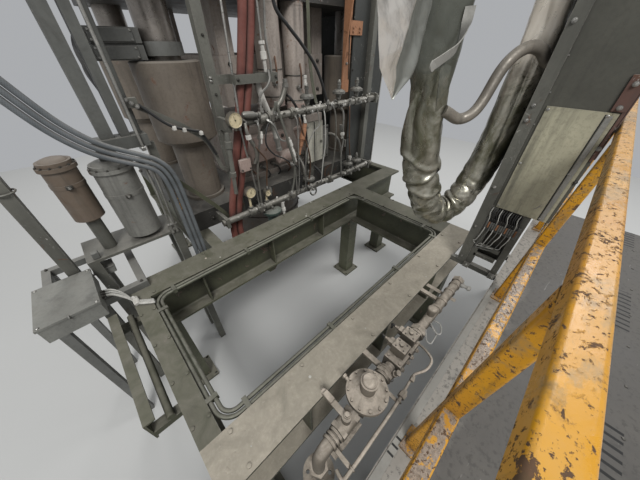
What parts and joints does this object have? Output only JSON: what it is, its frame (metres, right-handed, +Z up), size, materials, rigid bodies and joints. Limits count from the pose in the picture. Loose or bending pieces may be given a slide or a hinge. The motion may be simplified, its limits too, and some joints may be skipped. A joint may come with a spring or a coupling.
{
  "type": "low-pressure die casting machine",
  "caption": "Upright die casting press over a holding furnace, on a girder frame with a furnace bay, pipe rack, gas train and railed walkway.",
  "frame": {"origin": "middle of the machine's footprint on the pit floor, walkway included", "axes": "+X along the girders, the pipe rack and the guard rail; +Y from the walkway towards the press; +Z up"},
  "size_m": [4.2, 4.935, 4.74],
  "materials": {
    "olive_paint": "olive green machine paint under pale dust",
    "conduit_steel": "dusty steel conduit with clips",
    "platen_steel": "dark machined steel with grease and dust",
    "column_steel": "worn ground steel",
    "sleeve_paint": "grey beige paint, heat stained",
    "cylinder_paint": "dark grey green paint",
    "die_steel": "heat stained die steel with pale release dust",
    "furnace_shell": "heat browned shell paint",
    "rack_steel": "grey paint with chips and oil",
    "manifold_steel": "grey steel pipe with pale splashes",
    "valve_metal": "dull cast aluminium",
    "gauge_face": "cream dial in a steel case",
    "bell_green": "dark green enamel",
    "red_sleeve": "red fire sleeve over hose",
    "rust_plate": "orange primer and rust",
    "guard_grey": "plain grey guard paint",
    "duct_steel": "grey painted duct",
    "tank_paint": "grey tank paint, browned by heat",
    "box_grey": "grey box enamel",
    "hose_grey": "grey dusty hose",
    "cabinet_grey": "dark grey enamel",
    "cover_green": "light grey green enamel",
    "foil_fabric": "aluminised heat cloth",
    "flex_steel": "grey flexible metal conduit",
    "gas_dust": "pale dust over painted iron",
    "deck_steel": "grey deck plate",
    "safety_yellow": "chipped safety yellow"
  },
  "bodies": {
    "machine": {"near_girder": "olive_paint", "far_girder": "olive_paint", "left_end_beam": "olive_paint", "right_end_beam": "olive_paint", "press_base_beams": "olive_paint", "frame_legs": "olive_paint", "service_channel": "olive_paint", "conduit_loop": "conduit_steel", "lower_platen": "platen_steel", "crosshead": "platen_steel", "tie_columns": "column_steel", "column_sleeves": "sleeve_paint", "clamp_cylinder": "cylinder_paint", "lower_die": "die_steel", "holding_furnace": "furnace_shell", "rack_frame": "rack_steel", "tank_stand": "rack_steel", "hose_blocks": "rack_steel", "cabinet_frame": "rack_steel", "sleeve_boom": "rack_steel", "upper_manifold": "manifold_steel", "lower_manifold": "manifold_steel", "diaphragm_valves": "valve_metal", "pressure_gauges": "gauge_face", "air_regulator": "bell_green", "red_hose_a": "red_sleeve", "red_hose_b": "red_sleeve", "guide_bar": "rust_plate", "guard_panels": "guard_grey", "vertical_ducts": "duct_steel", "separator_tanks": "tank_paint", "junction_boxes": "box_grey", "bracket_frame": "box_grey", "terminal_box": "box_grey", "bundle_hose_a": "hose_grey", "bundle_hose_b": "hose_grey", "bundle_hose_c": "hose_grey", "cabinet_column": "cabinet_grey", "cover_panel": "cover_green", "rack_box": "cover_green", "loop_sleeve": "foil_fabric", "sleeve_flap": "foil_fabric", "flex_conduit": "flex_steel", "gas_pipe": "gas_dust", "ball_valve": "gas_dust", "gas_regulator": "gas_dust", "solenoid_block": "gas_dust", "service_deck": "deck_steel", "guard_rail": "safety_yellow"},
    "platen": {"piston_rod": "column_steel", "moving_platen": "platen_steel", "upper_die": "die_steel"},
    "gas_lever": {"valve_lever": "gas_dust"}
  },
  "joints": [
    {"name": "platen_slide", "type": "slide", "parent": "machine", "child": "platen", "axis": [0, 0, 1], "range_m": [-0.19, 0.4]},
    {"name": "gas_lever_turn", "type": "hinge", "parent": "machine", "child": "gas_lever", "pos_m": [-0.865, -1.4875, 1.417], "axis": [0, 0, 1], "range_deg": [0, 90]}
  ]
}
